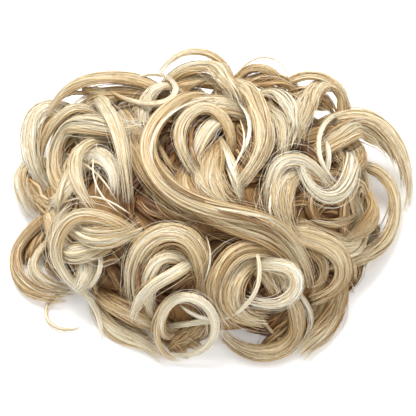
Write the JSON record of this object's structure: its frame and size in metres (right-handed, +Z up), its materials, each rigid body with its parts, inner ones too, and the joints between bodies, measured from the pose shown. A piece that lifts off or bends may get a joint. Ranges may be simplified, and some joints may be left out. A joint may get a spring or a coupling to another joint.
{
  "type": "top knot hairpiece",
  "caption": "Comb-in top knot hairpiece: a nest of loose pale curls over an open net cap, lying flat with its crown up, hollow below for the wearer's own bun.",
  "frame": {"origin": "on the surface that the piece lies on, under the middle of its box", "axes": "+X to the picture's right, the widest way; +Z up through the crown; -Y towards the viewer"},
  "size_m": [0.2039, 0.1576, 0.0723],
  "materials": {
    "hair_pale": "pale blonde synthetic hair, soft sheen along the strands",
    "hair_cream": "light ash-blonde synthetic hair, soft sheen along the strands",
    "hair_honey": "golden blonde synthetic hair, soft sheen along the strands",
    "hair_tan": "dark blonde synthetic hair, soft sheen along the strands",
    "hair_nest": "dense shaded under-hair, matt",
    "net": "fine knotted cap net, matt",
    "elastic": "woven elastic band, matt",
    "comb": "moulded brown plastic, gloss"
  },
  "bodies": {
    "root": {"front_ring_right": "hair_pale", "front_ring_wrap": "hair_tan", "front_ring_inner": "hair_honey", "front_low_ring": "hair_honey", "right_low_curl": "hair_cream", "right_low_skirt": "hair_tan", "river_upper": "hair_cream", "river_middle": "hair_tan", "centre_left_outer": "hair_cream", "centre_left_inner": "hair_pale", "centre_cross": "hair_pale", "bottom_ring": "hair_pale", "low_left_band": "hair_honey", "low_left_under": "hair_tan", "left_low_outer": "hair_tan", "left_low_inner": "hair_cream", "left_ring": "hair_cream", "left_ring_belly": "hair_cream", "left_ring_drop": "hair_pale", "left_top_band": "hair_honey", "left_big_wrap": "hair_cream", "left_eye_outer": "hair_honey", "left_eye_inner": "hair_pale", "left_slant": "hair_pale", "left_edge_low": "hair_tan", "left_edge": "hair_pale", "centre_slant": "hair_tan", "crown_ring_left": "hair_cream", "crown_ring_right": "hair_cream", "crown_fold": "hair_pale", "crown_fold_low": "hair_honey", "crown_right_hook": "hair_cream", "right_arch": "hair_pale", "right_drop": "hair_cream", "right_inner": "hair_tan", "right_outer": "hair_honey", "right_c": "hair_honey", "right_u": "hair_pale", "right_hoop_band": "hair_cream", "top_right_slant": "hair_cream", "top_left_band": "hair_honey", "top_arch": "hair_honey", "top_left_post": "hair_pale", "top_right_arch": "hair_tan", "top_right_pale": "hair_pale", "top_saddle": "hair_cream", "side_left_curl": "hair_honey", "side_left_sweep": "hair_cream", "side_right_curl": "hair_tan", "side_right_sweep": "hair_cream", "back_wave": "hair_cream", "back_curl_1": "hair_honey", "back_curl_2": "hair_cream", "back_curl_3": "hair_tan", "back_curl_4": "hair_pale", "hair_nest": "hair_nest", "net_cap": "net", "elastic_rim": "elastic", "comb_front": "comb", "comb_back": "comb"}
  },
  "joints": []
}
